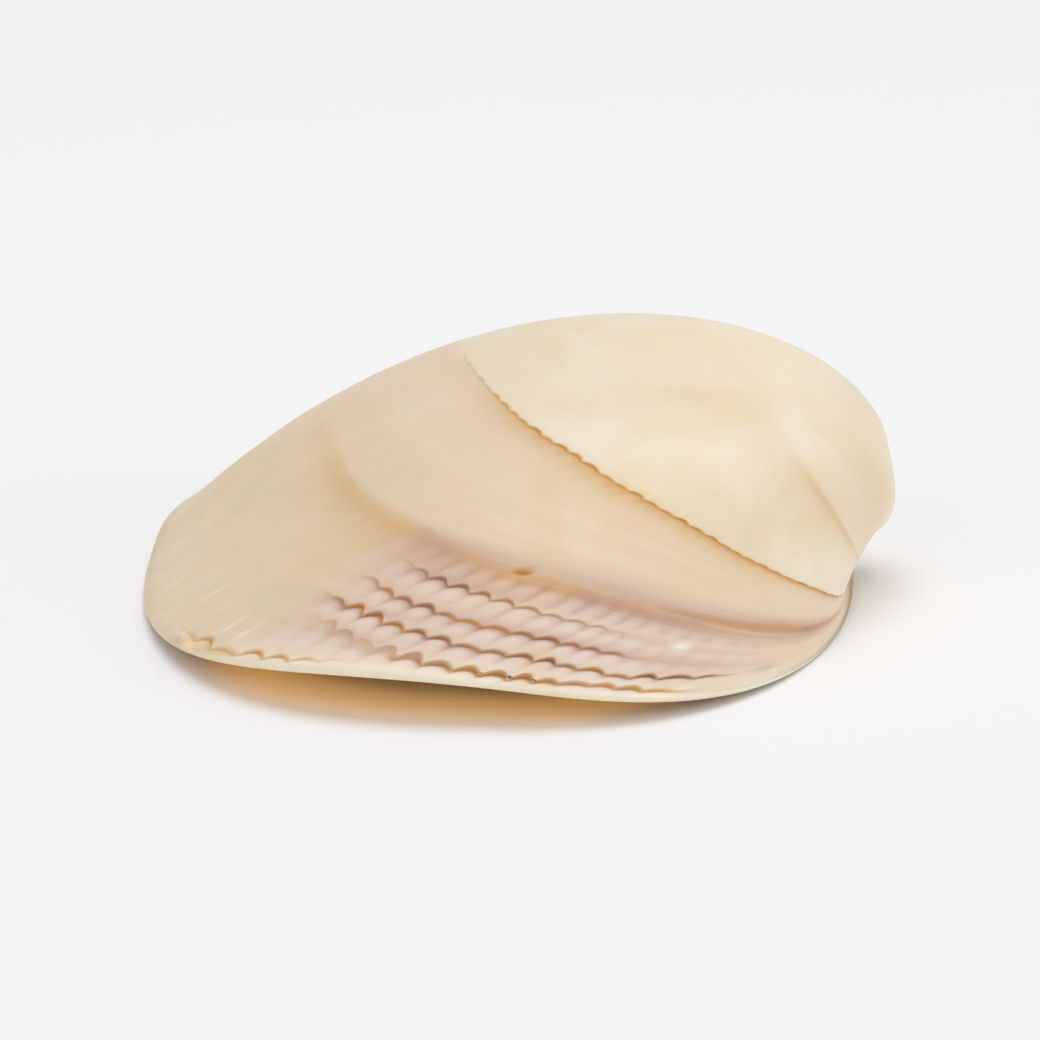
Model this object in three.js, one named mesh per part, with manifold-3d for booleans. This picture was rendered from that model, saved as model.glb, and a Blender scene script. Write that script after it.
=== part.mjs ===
// One valve of a cockle, lying hollow side down on the flat of its own margin.
//
// Millimetres, +Z up. +X runs from the belly edge to the beak, -Y is the long rear side and +Y the
// short front side, so this is a left valve.
//
// A cockle adds shell only at its margin. Every growth line is therefore the same outline, smaller and
// turned further back about one growth axis. The outside below is that outline swept from the
// present margin (turn 0) to the tip of the beak. The inside is the same sweep, set in by the wall.
import * as THREE from 'three';
import { mergeVertices } from 'three/addons/utils/BufferGeometryUtils.js';
import Module from 'manifold-3d';

// ---- the outline of the margin, as shares of the reach -------------------------------------------
const REACH = 28.0; // millimetres from the growth centre to the belly edge
const HINGE_END = 0.06; // how far the hinge edge lies past the growth centre
const REAR_WIDTH = 0.93;
const REAR_WIDEST_AT = 0.45;
const REAR_HINGE_FULLNESS = 2.25; // 2 is an ellipse, more is squarer
const REAR_BELLY_FULLNESS = 2.85;
const FRONT_WIDTH = 0.53;
const FRONT_WIDEST_AT = 0.62;
const FRONT_HINGE_FULLNESS = 1.45;
const FRONT_BELLY_FULLNESS = 2.4;
const BELLY_TIP_SIDE = -0.01; // the belly tip lies this far to the rear

// ---- how the outline grows -----------------------------------------------------------------------
const CENTRE_HEIGHT = 3.54; // millimetres from the margin's plane up to the growth centre
const AXIS_LEAN = 0.045; // radians, the growth axis towards the beak
const AXIS_LIFT = 0.5; // radians, its front end upwards
const SHRINK_RATE = 1.125; // per radian of turn
const SHRINK_EASE = 0.139; // how much the shrinking slows towards the beak
const BEAK_TURN = 3.34; // radians from the margin back to the beak's tip
const BEAK_ROUNDING = 0.85; // radians of turn over which the tip closes

// ---- the wall, millimetres -----------------------------------------------------------------------
const MARGIN_WALL = 1.0; // width of the flat edge that the valve rests on
const FULL_WALL = 1.8;
const WALL_THICKENS_OVER = 0.12; // radians
const INSIDE_BEVEL = 0.3;
const CAVITY_TURN = 1.4; // radians from the margin to the deep end of the hollow

// ---- the raised stretch of the rear margin -------------------------------------------------------
const RISE_HEIGHT = 1.67; // millimetres
const RISE_START = 0.023; // share of the reach, from the growth centre towards the belly
const RISE_SKEW = 1.43; // over 1 puts the highest place nearer the belly

// ---- the hinge plate and its teeth, millimetres ---------------------------------------------------
const PLATE_WIDTH = 2.6;
const PLATE_RECESS = 1.0;
const PLATE_REACH = 0.13; // how far it runs round the margin each way
const TOOTH_COUNT = 3;
const TOOTH_LENGTH = 3.0;
const TOOTH_THICKNESS = 0.8;
const TOOTH_HEIGHT = 1.6;
const TOOTH_FAN = 0.5; // radians between teeth
const TOOTH_CLEARANCE = 0.15; // from the resting plane to the crests
const TOOTH_CREST_SHARE = 0.7; // of the root's length and thickness
const TOOTH_SIDES = 10;
const TEETH_IN_FROM_EDGE = 2.9;
const TEETH_TO_REAR = 2.6;

// ---- fineness of the faceted solid ---------------------------------------------------------------
const AROUND = 68;
const OUTSIDE_ROWS = 32;
const INSIDE_ROWS = 14;

const growthAxis = new THREE.Vector3(
  Math.sin(AXIS_LEAN),
  Math.cos(AXIS_LEAN) * Math.cos(AXIS_LIFT),
  Math.sin(AXIS_LIFT),
).normalize();
const growthCentre = new THREE.Vector3(0, 0, CENTRE_HEIGHT);
const outlineMiddle = new THREE.Vector2(
  -REACH / 2,
  (REACH * (FRONT_WIDTH - REAR_WIDTH)) / 2,
);

// The outline is four quarter ovals. Each starts at its middle and runs `along` in X and `across` in Y.
const quarters = [
  {
    middle: [-REAR_WIDEST_AT, 0],
    along: HINGE_END + REAR_WIDEST_AT,
    across: -REAR_WIDTH,
    fullness: REAR_HINGE_FULLNESS,
  },
  {
    middle: [-REAR_WIDEST_AT, BELLY_TIP_SIDE],
    along: REAR_WIDEST_AT - 1,
    across: -REAR_WIDTH - BELLY_TIP_SIDE,
    fullness: REAR_BELLY_FULLNESS,
  },
  {
    middle: [-FRONT_WIDEST_AT, BELLY_TIP_SIDE],
    along: FRONT_WIDEST_AT - 1,
    across: FRONT_WIDTH - BELLY_TIP_SIDE,
    fullness: FRONT_BELLY_FULLNESS,
  },
  {
    middle: [-FRONT_WIDEST_AT, 0],
    along: HINGE_END + FRONT_WIDEST_AT,
    across: FRONT_WIDTH,
    fullness: FRONT_HINGE_FULLNESS,
  },
];

// `round` is 0 at the hinge, 0.25 at the rear, 0.5 at the belly, 0.75 at the front, 1 at the hinge.
function outlinePoint(round) {
  const index = Math.min(3, Math.floor(round * 4));
  const { middle, along, across, fullness } = quarters[index];
  const share = round * 4 - index;
  const startsInX = index % 2 === 0;
  const angle = (startsInX ? share : 1 - share) * (Math.PI / 2);
  const x = middle[0] + along * Math.cos(angle) ** (2 / fullness);
  const y = middle[1] + across * Math.sin(angle) ** (2 / fullness);
  return new THREE.Vector2(x * REACH, y * REACH);
}

function shrink(turn) {
  return Math.exp(-SHRINK_RATE * turn + SHRINK_EASE * turn * turn);
}

// A quarter circle's profile: 1 until the last `length` before `end`, then round to 0.
function roundedEnd(value, end, length) {
  const into = Math.max(0, (value - end + length) / length);
  return Math.sqrt(Math.max(0, 1 - into * into));
}

// The rear margin doesn't lie flat: it arches up between the hinge and the belly.
function marginRise(round) {
  if (round >= 0.5) return 0;
  const towardsBelly = -outlinePoint(round).x / REACH;
  const share = Math.max(0, (towardsBelly - RISE_START) / (1 - RISE_START));
  return RISE_HEIGHT * Math.sin(Math.PI * share ** RISE_SKEW);
}

// 1 beside the hinge, falling smoothly to 0 at the ends of the hinge plate.
function hingeShare(round) {
  const away = Math.min(round, 1 - round) / PLATE_REACH;
  return away >= 1 ? 0 : Math.cos((away * Math.PI) / 2) ** 2;
}

// A point of the growth line at `turn`, set in by `inset` and raised by `lift` before it is turned.
function grownPoint(round, turn, inset = 0, lift = 0, narrowing = 1) {
  const size = shrink(turn);
  const spoke = outlinePoint(round).sub(outlineMiddle);
  spoke.setLength(Math.max(0, spoke.length() - inset / size) * narrowing);
  const height = marginRise(round) + lift - CENTRE_HEIGHT;
  return new THREE.Vector3(outlineMiddle.x + spoke.x, outlineMiddle.y + spoke.y, height)
    .applyAxisAngle(growthAxis, turn)
    .multiplyScalar(size)
    .add(growthCentre);
}

function ring(pointAt) {
  return Array.from({ length: AROUND }, (_, step) => pointAt(step / AROUND));
}

function outsideRings() {
  return Array.from({ length: OUTSIDE_ROWS }, (_, row) => {
    const turn = BEAK_TURN * (1 - row / (OUTSIDE_ROWS - 1)) * (1 - 0.5 / OUTSIDE_ROWS);
    const narrowing = roundedEnd(turn, BEAK_TURN, BEAK_ROUNDING);
    return ring((round) => grownPoint(round, turn, 0, 0, narrowing));
  });
}

// The flat edge, a small bevel, and the hinge plate, which is recessed and widest at the hinge.
function marginRings() {
  const bevelled = MARGIN_WALL + INSIDE_BEVEL;
  return [
    ring((round) => grownPoint(round, 0, MARGIN_WALL)),
    ring((round) => grownPoint(round, 0, bevelled, INSIDE_BEVEL + PLATE_RECESS * hingeShare(round))),
  ];
}

function insideRings() {
  return Array.from({ length: INSIDE_ROWS }, (_, row) => {
    const share = Math.sin(((row + 1) / (INSIDE_ROWS + 1)) * (Math.PI / 2));
    const turn = CAVITY_TURN * share;
    const thickening = 1 - Math.exp(-turn / WALL_THICKENS_OVER);
    const wall = MARGIN_WALL + INSIDE_BEVEL + (FULL_WALL - MARGIN_WALL) * thickening;
    const narrowing = Math.sqrt(1 - share ** 6);
    return ring((round) => {
      const atHinge = hingeShare(round);
      return grownPoint(round, turn, wall + PLATE_WIDTH * atHinge, PLATE_RECESS * atHinge, narrowing);
    });
  });
}

// Joins rings of points into one closed skin, with a fan of faces at each end.
function skin(firstTip, rings, lastTip) {
  const points = [firstTip, ...rings.flat(), lastTip];
  const last = points.length - 1;
  const at = (row, step) => 1 + row * AROUND + (step % AROUND);
  const faces = [];
  for (let step = 0; step < AROUND; step += 1) {
    faces.push(0, at(0, step + 1), at(0, step));
    faces.push(last, at(rings.length - 1, step), at(rings.length - 1, step + 1));
    for (let row = 0; row < rings.length - 1; row += 1) {
      faces.push(at(row, step), at(row, step + 1), at(row + 1, step));
      faces.push(at(row, step + 1), at(row + 1, step + 1), at(row + 1, step));
    }
  }
  const geometry = new THREE.BufferGeometry();
  geometry.setAttribute('position', new THREE.Float32BufferAttribute(points.flatMap((p) => p.toArray()), 3));
  geometry.setIndex(faces);
  return geometry;
}

function valveWall() {
  const beakTip = grownPoint(0, BEAK_TURN, 0, 0, 0);
  const hollowEnd = grownPoint(0, CAVITY_TURN, 0, 0, 0);
  return skin(beakTip, [...outsideRings(), ...marginRings(), ...insideRings()], hollowEnd);
}

// A long narrow ridge, fanned out from under the beak. Its crest stops just short of the resting plane.
function hingeTooth(index) {
  const fan = (index - (TOOTH_COUNT - 1) / 2) * TOOTH_FAN;
  const hinge = grownPoint(0, 0, TEETH_IN_FROM_EDGE);
  const tooth = new THREE.CylinderGeometry(0.5, TOOTH_CREST_SHARE / 2, TOOTH_HEIGHT, TOOTH_SIDES);
  tooth.rotateX(Math.PI / 2);
  tooth.scale(TOOTH_LENGTH, TOOTH_THICKNESS, 1);
  tooth.rotateZ(fan);
  tooth.translate(hinge.x, hinge.y - TEETH_TO_REAR + fan * TOOTH_LENGTH, TOOTH_CLEARANCE + TOOTH_HEIGHT / 2);
  return tooth;
}

const wasm = await Module();
wasm.setup();

function solidFrom(geometry) {
  geometry.deleteAttribute('normal');
  geometry.deleteAttribute('uv');
  const merged = mergeVertices(geometry, 1e-4);
  return new wasm.Manifold(new wasm.Mesh({
    numProp: 3,
    vertProperties: new Float32Array(merged.attributes.position.array),
    triVerts: new Uint32Array(merged.index.array),
  }));
}

function geometryFrom(solid) {
  const mesh = solid.getMesh();
  const geometry = new THREE.BufferGeometry();
  geometry.setAttribute('position', new THREE.Float32BufferAttribute(mesh.vertProperties, 3));
  geometry.setIndex(Array.from(mesh.triVerts));
  geometry.computeVertexNormals();
  return geometry;
}

function valveSolid() {
  const teeth = Array.from({ length: TOOTH_COUNT }, (_, index) => solidFrom(hingeTooth(index)));
  return teeth.reduce((solid, tooth) => solid.add(tooth), solidFrom(valveWall()));
}

const shellFinish = new THREE.MeshStandardMaterial({ color: 0xe3d2b8, roughness: 0.45, metalness: 0 });

const valve = new THREE.Mesh(geometryFrom(valveSolid()), shellFinish);
valve.name = 'valve';

// The origin lies under the middle of the valve, on the surface that it rests on.
const extent = new THREE.Box3().setFromObject(valve);
const middle = extent.getCenter(new THREE.Vector3());
valve.geometry.translate(-middle.x, -middle.y, -extent.min.z);

const part = new THREE.Group();
part.name = 'cockle_shell';
part.add(valve);

export default part;
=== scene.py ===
import logging
import math
from dataclasses import dataclass, field
from enum import Enum

import bmesh
import bpy
import numpy as np
from mathutils import Matrix, Vector
from mathutils.kdtree import KDTree


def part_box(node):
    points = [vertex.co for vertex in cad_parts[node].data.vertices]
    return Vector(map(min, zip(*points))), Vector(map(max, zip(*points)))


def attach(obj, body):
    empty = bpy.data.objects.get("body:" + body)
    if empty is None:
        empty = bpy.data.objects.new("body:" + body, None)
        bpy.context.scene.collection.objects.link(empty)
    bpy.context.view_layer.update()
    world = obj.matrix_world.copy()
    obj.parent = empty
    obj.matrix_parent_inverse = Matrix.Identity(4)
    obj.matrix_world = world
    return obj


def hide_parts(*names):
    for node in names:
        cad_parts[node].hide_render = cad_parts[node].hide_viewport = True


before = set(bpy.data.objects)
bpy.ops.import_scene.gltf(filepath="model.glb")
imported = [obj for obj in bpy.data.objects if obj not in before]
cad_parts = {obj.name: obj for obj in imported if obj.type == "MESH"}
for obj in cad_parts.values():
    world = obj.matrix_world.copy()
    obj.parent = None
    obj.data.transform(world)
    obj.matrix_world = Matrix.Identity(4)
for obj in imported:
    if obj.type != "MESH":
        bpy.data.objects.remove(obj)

log = logging.getLogger("cockle")

MM = 0.001
VALVE_NODE = "valve"
BODY = "root"

Colour = tuple[float, float, float, float]
Points = tuple[tuple[float, float], ...]


def colour(red: int, green: int, blue: int) -> Colour:
    """Turns a paint chart's colour into the linear one that a shader takes.

    Args:
        red: Red, 0 to 255.
        green: Green, 0 to 255.
        blue: Blue, 0 to 255.

    Returns:
        The linear colour, with an alpha of 1.
    """
    shares = (channel / 255 for channel in (red, green, blue))
    linear = [share / 12.92 if share <= 0.04045 else ((share + 0.055) / 1.055) ** 2.4 for share in shares]
    return (linear[0], linear[1], linear[2], 1.0)


def ease(value: np.ndarray, start: float, end: float) -> np.ndarray:
    """Rises smoothly from 0 at `start` to 1 at `end`, or falls where `end` is the smaller.

    Args:
        value: Where to read the curve.
        start: The value that gives 0.
        end: The value that gives 1.

    Returns:
        The eased shares.
    """
    share = np.clip((value - start) / (end - start), 0, 1)
    return share * share * (3 - 2 * share)


def hump(value: np.ndarray, middle: float, width: float) -> np.ndarray:
    """A smooth hump, 1 at `middle` and near 0 past `width` on each side.

    Args:
        value: Where to read the curve.
        middle: The value that gives 1.
        width: How far it takes to fall nearly to 0.

    Returns:
        The hump's height, 0 to 1.
    """
    return np.exp(-((value - middle) / (0.5 * width)) ** 2)


# ---- how a cockle grows ---------------------------------------------------------------------------


@dataclass(frozen=True)
class Quarter:
    """A quarter oval of the margin, in shares of the reach."""

    middle: tuple[float, float]
    along: float
    across: float
    fullness: float


@dataclass(frozen=True)
class GrowthLaw:
    """The surface that the margin sweeps as it grows: one outline, turned and shrunk towards the beak.

    `around` runs round the margin: 0 hinge, 0.25 rear, 0.5 belly, 0.75 front, 1 hinge. `turn` runs
    back in time: 0 at the present margin, `beak_turn` at the tip of the beak.
    """

    reach: float
    shift: tuple[float, float, float]
    hinge_end: float = 0.06
    rear_width: float = 0.93
    rear_widest_at: float = 0.45
    rear_fullness: tuple[float, float] = (2.25, 2.85)
    front_width: float = 0.53
    front_widest_at: float = 0.62
    front_fullness: tuple[float, float] = (2.4, 1.45)
    belly_tip_side: float = -0.01
    centre_height: float = 3.54 * MM
    axis_lean: float = 0.045
    axis_lift: float = 0.5
    shrink_rate: float = 1.125
    shrink_ease: float = 0.139
    beak_turn: float = 3.34
    beak_rounding: float = 0.85
    rise_height: float = 1.67 * MM
    rise_start: float = 0.023
    rise_skew: float = 1.43

    @classmethod
    def inside_box(cls, low: Vector, high: Vector) -> "GrowthLaw":
        """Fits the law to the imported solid's box.

        Args:
            low: The box's lowest corner.
            high: The box's highest corner.

        Returns:
            The law, in metres, at the solid's own place.
        """
        reach = (high.y - low.y) / (cls.rear_width + cls.front_width)
        return cls(reach=reach, shift=(low.x + reach, low.y + reach * cls.rear_width, low.z))

    @property
    def quarters(self) -> tuple[Quarter, ...]:
        """The margin's four quarters, from the hinge round by the rear."""
        tip = self.belly_tip_side
        rear, front = self.rear_widest_at, self.front_widest_at
        return (
            Quarter((-rear, 0), self.hinge_end + rear, -self.rear_width, self.rear_fullness[0]),
            Quarter((-rear, tip), rear - 1, -self.rear_width - tip, self.rear_fullness[1]),
            Quarter((-front, tip), front - 1, self.front_width - tip, self.front_fullness[0]),
            Quarter((-front, 0), self.hinge_end + front, self.front_width, self.front_fullness[1]),
        )

    @property
    def axis(self) -> np.ndarray:
        """The unit vector that growth turns about."""
        lean, lift = self.axis_lean, self.axis_lift
        axis = np.array([math.sin(lean), math.cos(lean) * math.cos(lift), math.sin(lift)])
        return axis / np.linalg.norm(axis)

    def outline(self, around: np.ndarray) -> tuple[np.ndarray, np.ndarray]:
        """The margin's outline.

        Args:
            around: Places round the margin, 0 to 1.

        Returns:
            X and Y of each place, from the growth centre.
        """
        x, y = np.zeros_like(around), np.zeros_like(around)
        index = np.minimum(3, np.floor(around * 4).astype(int))
        for number, quarter in enumerate(self.quarters):
            here = index == number
            share = around[here] * 4 - number
            angle = (share if number % 2 == 0 else 1 - share) * math.pi / 2
            power = 2 / quarter.fullness
            x[here] = quarter.middle[0] + quarter.along * np.abs(np.cos(angle)) ** power
            y[here] = quarter.middle[1] + quarter.across * np.abs(np.sin(angle)) ** power
        return x * self.reach, y * self.reach

    def rise(self, around: np.ndarray) -> np.ndarray:
        """How far the rear margin arches up from the table."""
        x, _ = self.outline(around)
        share = np.clip((-x / self.reach - self.rise_start) / (1 - self.rise_start), 0, 1)
        return np.where(around < 0.5, self.rise_height * np.sin(math.pi * share**self.rise_skew), 0)

    def shrink(self, turn: np.ndarray) -> np.ndarray:
        """The size of the growth line at each turn, as a share of the present margin's."""
        return np.exp(-self.shrink_rate * turn + self.shrink_ease * turn**2)

    def narrowing(self, turn: np.ndarray) -> np.ndarray:
        """Closes the beak: 1 along the valve, rounding down to 0 at the tip."""
        into = np.maximum(0, (turn - self.beak_turn + self.beak_rounding) / self.beak_rounding)
        return np.sqrt(np.maximum(0, 1 - into**2))

    def place(
        self,
        around: np.ndarray,
        turn: np.ndarray,
        inset: np.ndarray | float = 0.0,
        lift: np.ndarray | float = 0.0,
        narrowing: np.ndarray | float = 1.0,
    ) -> np.ndarray:
        """Points of the growth surface.

        Args:
            around: Places round the margin.
            turn: Radians back from the margin.
            inset: How far in from the growth line.
            lift: How far up, before the line is turned.
            narrowing: Share of the line's own width that is kept.

        Returns:
            The points, with X, Y and Z along the last axis.
        """
        x, y = self.outline(around)
        middle_x = -self.reach / 2
        middle_y = self.reach * (self.front_width - self.rear_width) / 2
        spoke = np.hypot(x - middle_x, y - middle_y)
        size = self.shrink(turn)
        kept = np.maximum(0, 1 - inset / size / spoke) * narrowing
        line = np.stack(
            np.broadcast_arrays(
                middle_x + (x - middle_x) * kept,
                middle_y + (y - middle_y) * kept,
                self.rise(around) + lift - self.centre_height,
            ),
            axis=-1,
        )
        cosine, sine = np.cos(turn)[..., None], np.sin(turn)[..., None]
        along_axis = (line @ self.axis)[..., None] * self.axis
        turned = line * cosine + np.cross(self.axis, line) * sine + along_axis * (1 - cosine)
        centre = np.array([self.shift[0], self.shift[1], self.shift[2] + self.centre_height])
        return size[..., None] * turned + centre


@dataclass(frozen=True)
class GrowthPause:
    """A pause in growth. It leaves a ledge whose lower edge is notched by the ribs.

    Attributes:
        name: What the ledge is called in the log.
        turns: (around, turn) of the ledge at a few places.
        span: The stretch of the margin, start and end, where it shows.
        fade: How far it takes to fade out past each end of the span.
        notch: Radians that each notch reaches up.
        depth: Metres that the groove under the ledge is cut in.
        run_out: Radians over which the groove runs out.
        stain: How dark the groove is.
        evenness: How far the groove carries on between the ribs, 0 to 1.
        on_front: How strong the same ledge is on the short front side.
        bleed: Radians over which a soft stain spreads below the ledge.
        bleed_stain: How dark that soft stain is.
    """

    name: str
    turns: Points
    span: tuple[float, float]
    fade: float = 0.02
    notch: float = 0.010
    depth: float = 0.17 * MM
    run_out: float = 0.014
    stain: float = 1.0
    evenness: float = 0.55
    on_front: float = 0.4
    bleed: float = 0.020
    bleed_stain: float = 0.0

    def turn_at(self, around: np.ndarray) -> np.ndarray:
        """The ledge's turn at each place, before its notches."""
        places, turns = zip(*self.turns)
        return np.interp(around, places, turns)

    def strength(self, around: np.ndarray) -> np.ndarray:
        """How clearly the ledge shows at each place, 0 to 1."""
        start, end = self.span
        rises = ease(around, start - self.fade, start + self.fade)
        rear = rises * ease(around, end + self.fade, end - self.fade)
        front = ease(around, 0.60, 0.66) * ease(around, 0.90, 0.82)
        return np.maximum(rear, self.on_front * front)


EDGE_ROW = GrowthPause(
    "edge row", ((0.30, 0.030), (0.34, 0.024), (0.37, 0.021), (0.41, 0.024)), (0.312, 0.402),
    notch=0.009, depth=0.12 * MM, run_out=0.010, stain=1.0, on_front=0.2,
)
FIRST_ROW = GrowthPause(
    "first row",
    ((0.19, 0.036), (0.23, 0.042), (0.255, 0.031), (0.29, 0.047), (0.35, 0.090)),
    (0.195, 0.345),
    depth=0.20 * MM, run_out=0.018,
)
SECOND_ROW = GrowthPause(
    "second row",
    ((0.18, 0.082), (0.225, 0.065), (0.27, 0.076), (0.31, 0.098), (0.36, 0.127)),
    (0.18, 0.358),
)
THIRD_ROW = GrowthPause(
    "third row", ((0.23, 0.108), (0.28, 0.122), (0.325, 0.146), (0.355, 0.167)), (0.236, 0.352),
)
FOURTH_ROW = GrowthPause(
    "fourth row", ((0.25, 0.160), (0.29, 0.175), (0.32, 0.188), (0.35, 0.208)), (0.252, 0.345),
    depth=0.16 * MM, stain=0.7,
)
LATE_CHECK = GrowthPause(
    "late check", ((0.14, 0.277), (0.18, 0.281), (0.25, 0.240), (0.30, 0.236), (0.37, 0.266), (0.5, 0.276)),
    (0.08, 0.50), fade=0.06, notch=0.004, depth=0.03 * MM, run_out=0.060, stain=0.0, evenness=0.8,
    bleed=0.060, bleed_stain=0.62,
)
MIDDLE_CHECK = GrowthPause(
    "middle check",
    ((0.13, 0.487), (0.18, 0.514), (0.25, 0.490), (0.33, 0.522), (0.39, 0.544), (0.51, 0.539)),
    (0.07, 0.50),
    fade=0.08, notch=0.006, depth=0.05 * MM, run_out=0.022, stain=1.0, evenness=0.7, on_front=0.6,
    bleed=0.036, bleed_stain=0.78,
)
EARLY_CHECK = GrowthPause(
    "early check", ((0.24, 0.974), (0.29, 0.998), (0.36, 1.063), (0.44, 1.141)),
    (0.16, 0.33), fade=0.07, notch=0.0, depth=0.015 * MM, run_out=0.070, stain=0.0, evenness=0.9,
    bleed=0.080, bleed_stain=0.52,
)
ROWS = (FIRST_ROW, SECOND_ROW, THIRD_ROW, FOURTH_ROW)
PAUSES = (EDGE_ROW, *ROWS, LATE_CHECK, MIDDLE_CHECK, EARLY_CHECK)


@dataclass(frozen=True)
class Spot:
    """A small mark at one place on the outside.

    Attributes:
        around: Its place round the margin.
        turn: Its turn back from the margin.
        half_width: Half its width round the margin.
        half_height: Half its height, in radians of turn.
        slant: How far it leans round the margin for each radian of turn.
    """

    around: float
    turn: float
    half_width: float
    half_height: float
    slant: float = 0.0

    def strength(self, around: np.ndarray, turns: np.ndarray) -> np.ndarray:
        """How clearly the spot shows at each point, 0 to 1."""
        across = (around - self.around) + self.slant * (turns - self.turn)
        return np.exp(-((across / self.half_width) ** 2) - ((turns - self.turn) / self.half_height) ** 2)


SCRATCH_PLACES = ((0.442, 0.060), (0.424, 0.062), (0.406, 0.057), (0.382, 0.047), (0.369, 0.042))
SCRATCHES = tuple(Spot(around, turn, 0.0016, 0.012, slant=0.25) for around, turn in SCRATCH_PLACES)
SCRATCH_STRENGTH = 0.75
GLINT = Spot(0.217, 0.156, 0.0045, 0.011)
GREY_END = Spot(0.398, 0.010, 0.006, 0.010)
GREY_PATCH = Spot(0.154, 0.089, 0.008, 0.012)
GREY_PATCH_STRENGTH = 0.6
PIT = Spot(0.296, 0.240, 0.0042, 0.0075)
PIT_DEPTH = 0.22 * MM
PIT_STAIN = 1.6


@dataclass
class Ribs:
    """The ribs that run from the beak to the margin, each a little wider or narrower than the next."""

    law: GrowthLaw
    seed: int = 7
    unevenness: float = 0.20
    table_size: int = 4001
    around: np.ndarray = field(init=False)
    arc: np.ndarray = field(init=False)
    edges: np.ndarray = field(init=False)

    def __post_init__(self) -> None:
        """Measures the margin and lays the ribs out along it."""
        self.around = np.linspace(0, 1, self.table_size)
        points = self.law.place(self.around, np.zeros(self.table_size))
        steps = np.linalg.norm(np.diff(points, axis=0), axis=1)
        self.arc = np.concatenate([[0], np.cumsum(steps)])
        self.edges = self._laid_out()

    def _pitch(self, around: float) -> float:
        """The mean width of a rib at one place: narrow along the rear, wide at the belly.

        Args:
            around: The place round the margin.

        Returns:
            The width in metres.
        """
        rear_widths = ((0.0, 1.4), (0.19, 1.4), (0.24, 1.12), (0.29, 1.2), (0.36, 1.9))
        front_widths = ((0.5, 1.9), (0.6, 1.6), (1.0, 1.4))
        places, sizes = zip(*rear_widths, *front_widths)
        return float(np.interp(around, places, sizes)) * MM

    def _laid_out(self) -> np.ndarray:
        """Places the grooves between ribs.

        Returns:
            The distance of each groove along the margin, from 0 to the margin's whole length.
        """
        chance = np.random.default_rng(self.seed)
        edges = [0.0]
        while edges[-1] < self.arc[-1]:
            here = float(np.interp(edges[-1], self.arc, self.around))
            edges.append(edges[-1] + self._pitch(here) * (1 + self.unevenness * chance.uniform(-1, 1)))
        return np.array(edges) * self.arc[-1] / edges[-1]

    @property
    def count(self) -> int:
        """How many ribs there are."""
        return len(self.edges) - 1

    def number(self, around: np.ndarray) -> np.ndarray:
        """The rib at each place: whole numbers are grooves, halves are crests."""
        distance = np.interp(around, self.around, self.arc)
        return np.interp(distance, self.edges, np.arange(self.count + 1))

    def columns(self, count: int, rear_share: float) -> np.ndarray:
        """Spreads mesh columns round the margin, closer together along the long rear side.

        Args:
            count: How many columns.
            rear_share: How much closer they are there.

        Returns:
            The place of each column, from 0 to 1.
        """
        middle = (self.around[1:] + self.around[:-1]) / 2
        closeness = 1 + rear_share * ease(middle, 0.10, 0.20) * ease(middle, 0.42, 0.34)
        weight = np.concatenate([[0], np.cumsum(np.diff(self.arc) * closeness)])
        return np.interp(np.linspace(0, weight[-1], count + 1), weight, self.around)


# ---- the valve's mesh -----------------------------------------------------------------------------


class Mark(Enum):
    """The marks that the mesh carries for its finish, each an attribute of its points."""

    GROOVE = "groove"
    # Mauve tint of the shell, partly painted shade under the ledges and low on the rear side.
    MAUVE_AND_SHADE = "mauve_and_shade"
    BEAD = "bead"
    PEACH = "peach"
    TAN = "tan"
    PALE = "pale"
    CHALK = "chalk"
    GREY = "grey"
    INSIDE = "inside"
    DEEP = "deep"
    SCAR = "scar"


@dataclass
class Skin:
    """The skin of the valve as a table of points, from the beak over the outside to the hollow.

    Attributes:
        points: Rows by columns of places.
        marks: Rows by columns of each mark's strength.
        growth: Rows by columns of growth coordinates, for patterns that follow the surface.
    """

    points: np.ndarray
    marks: dict[Mark, np.ndarray]
    growth: np.ndarray


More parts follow.
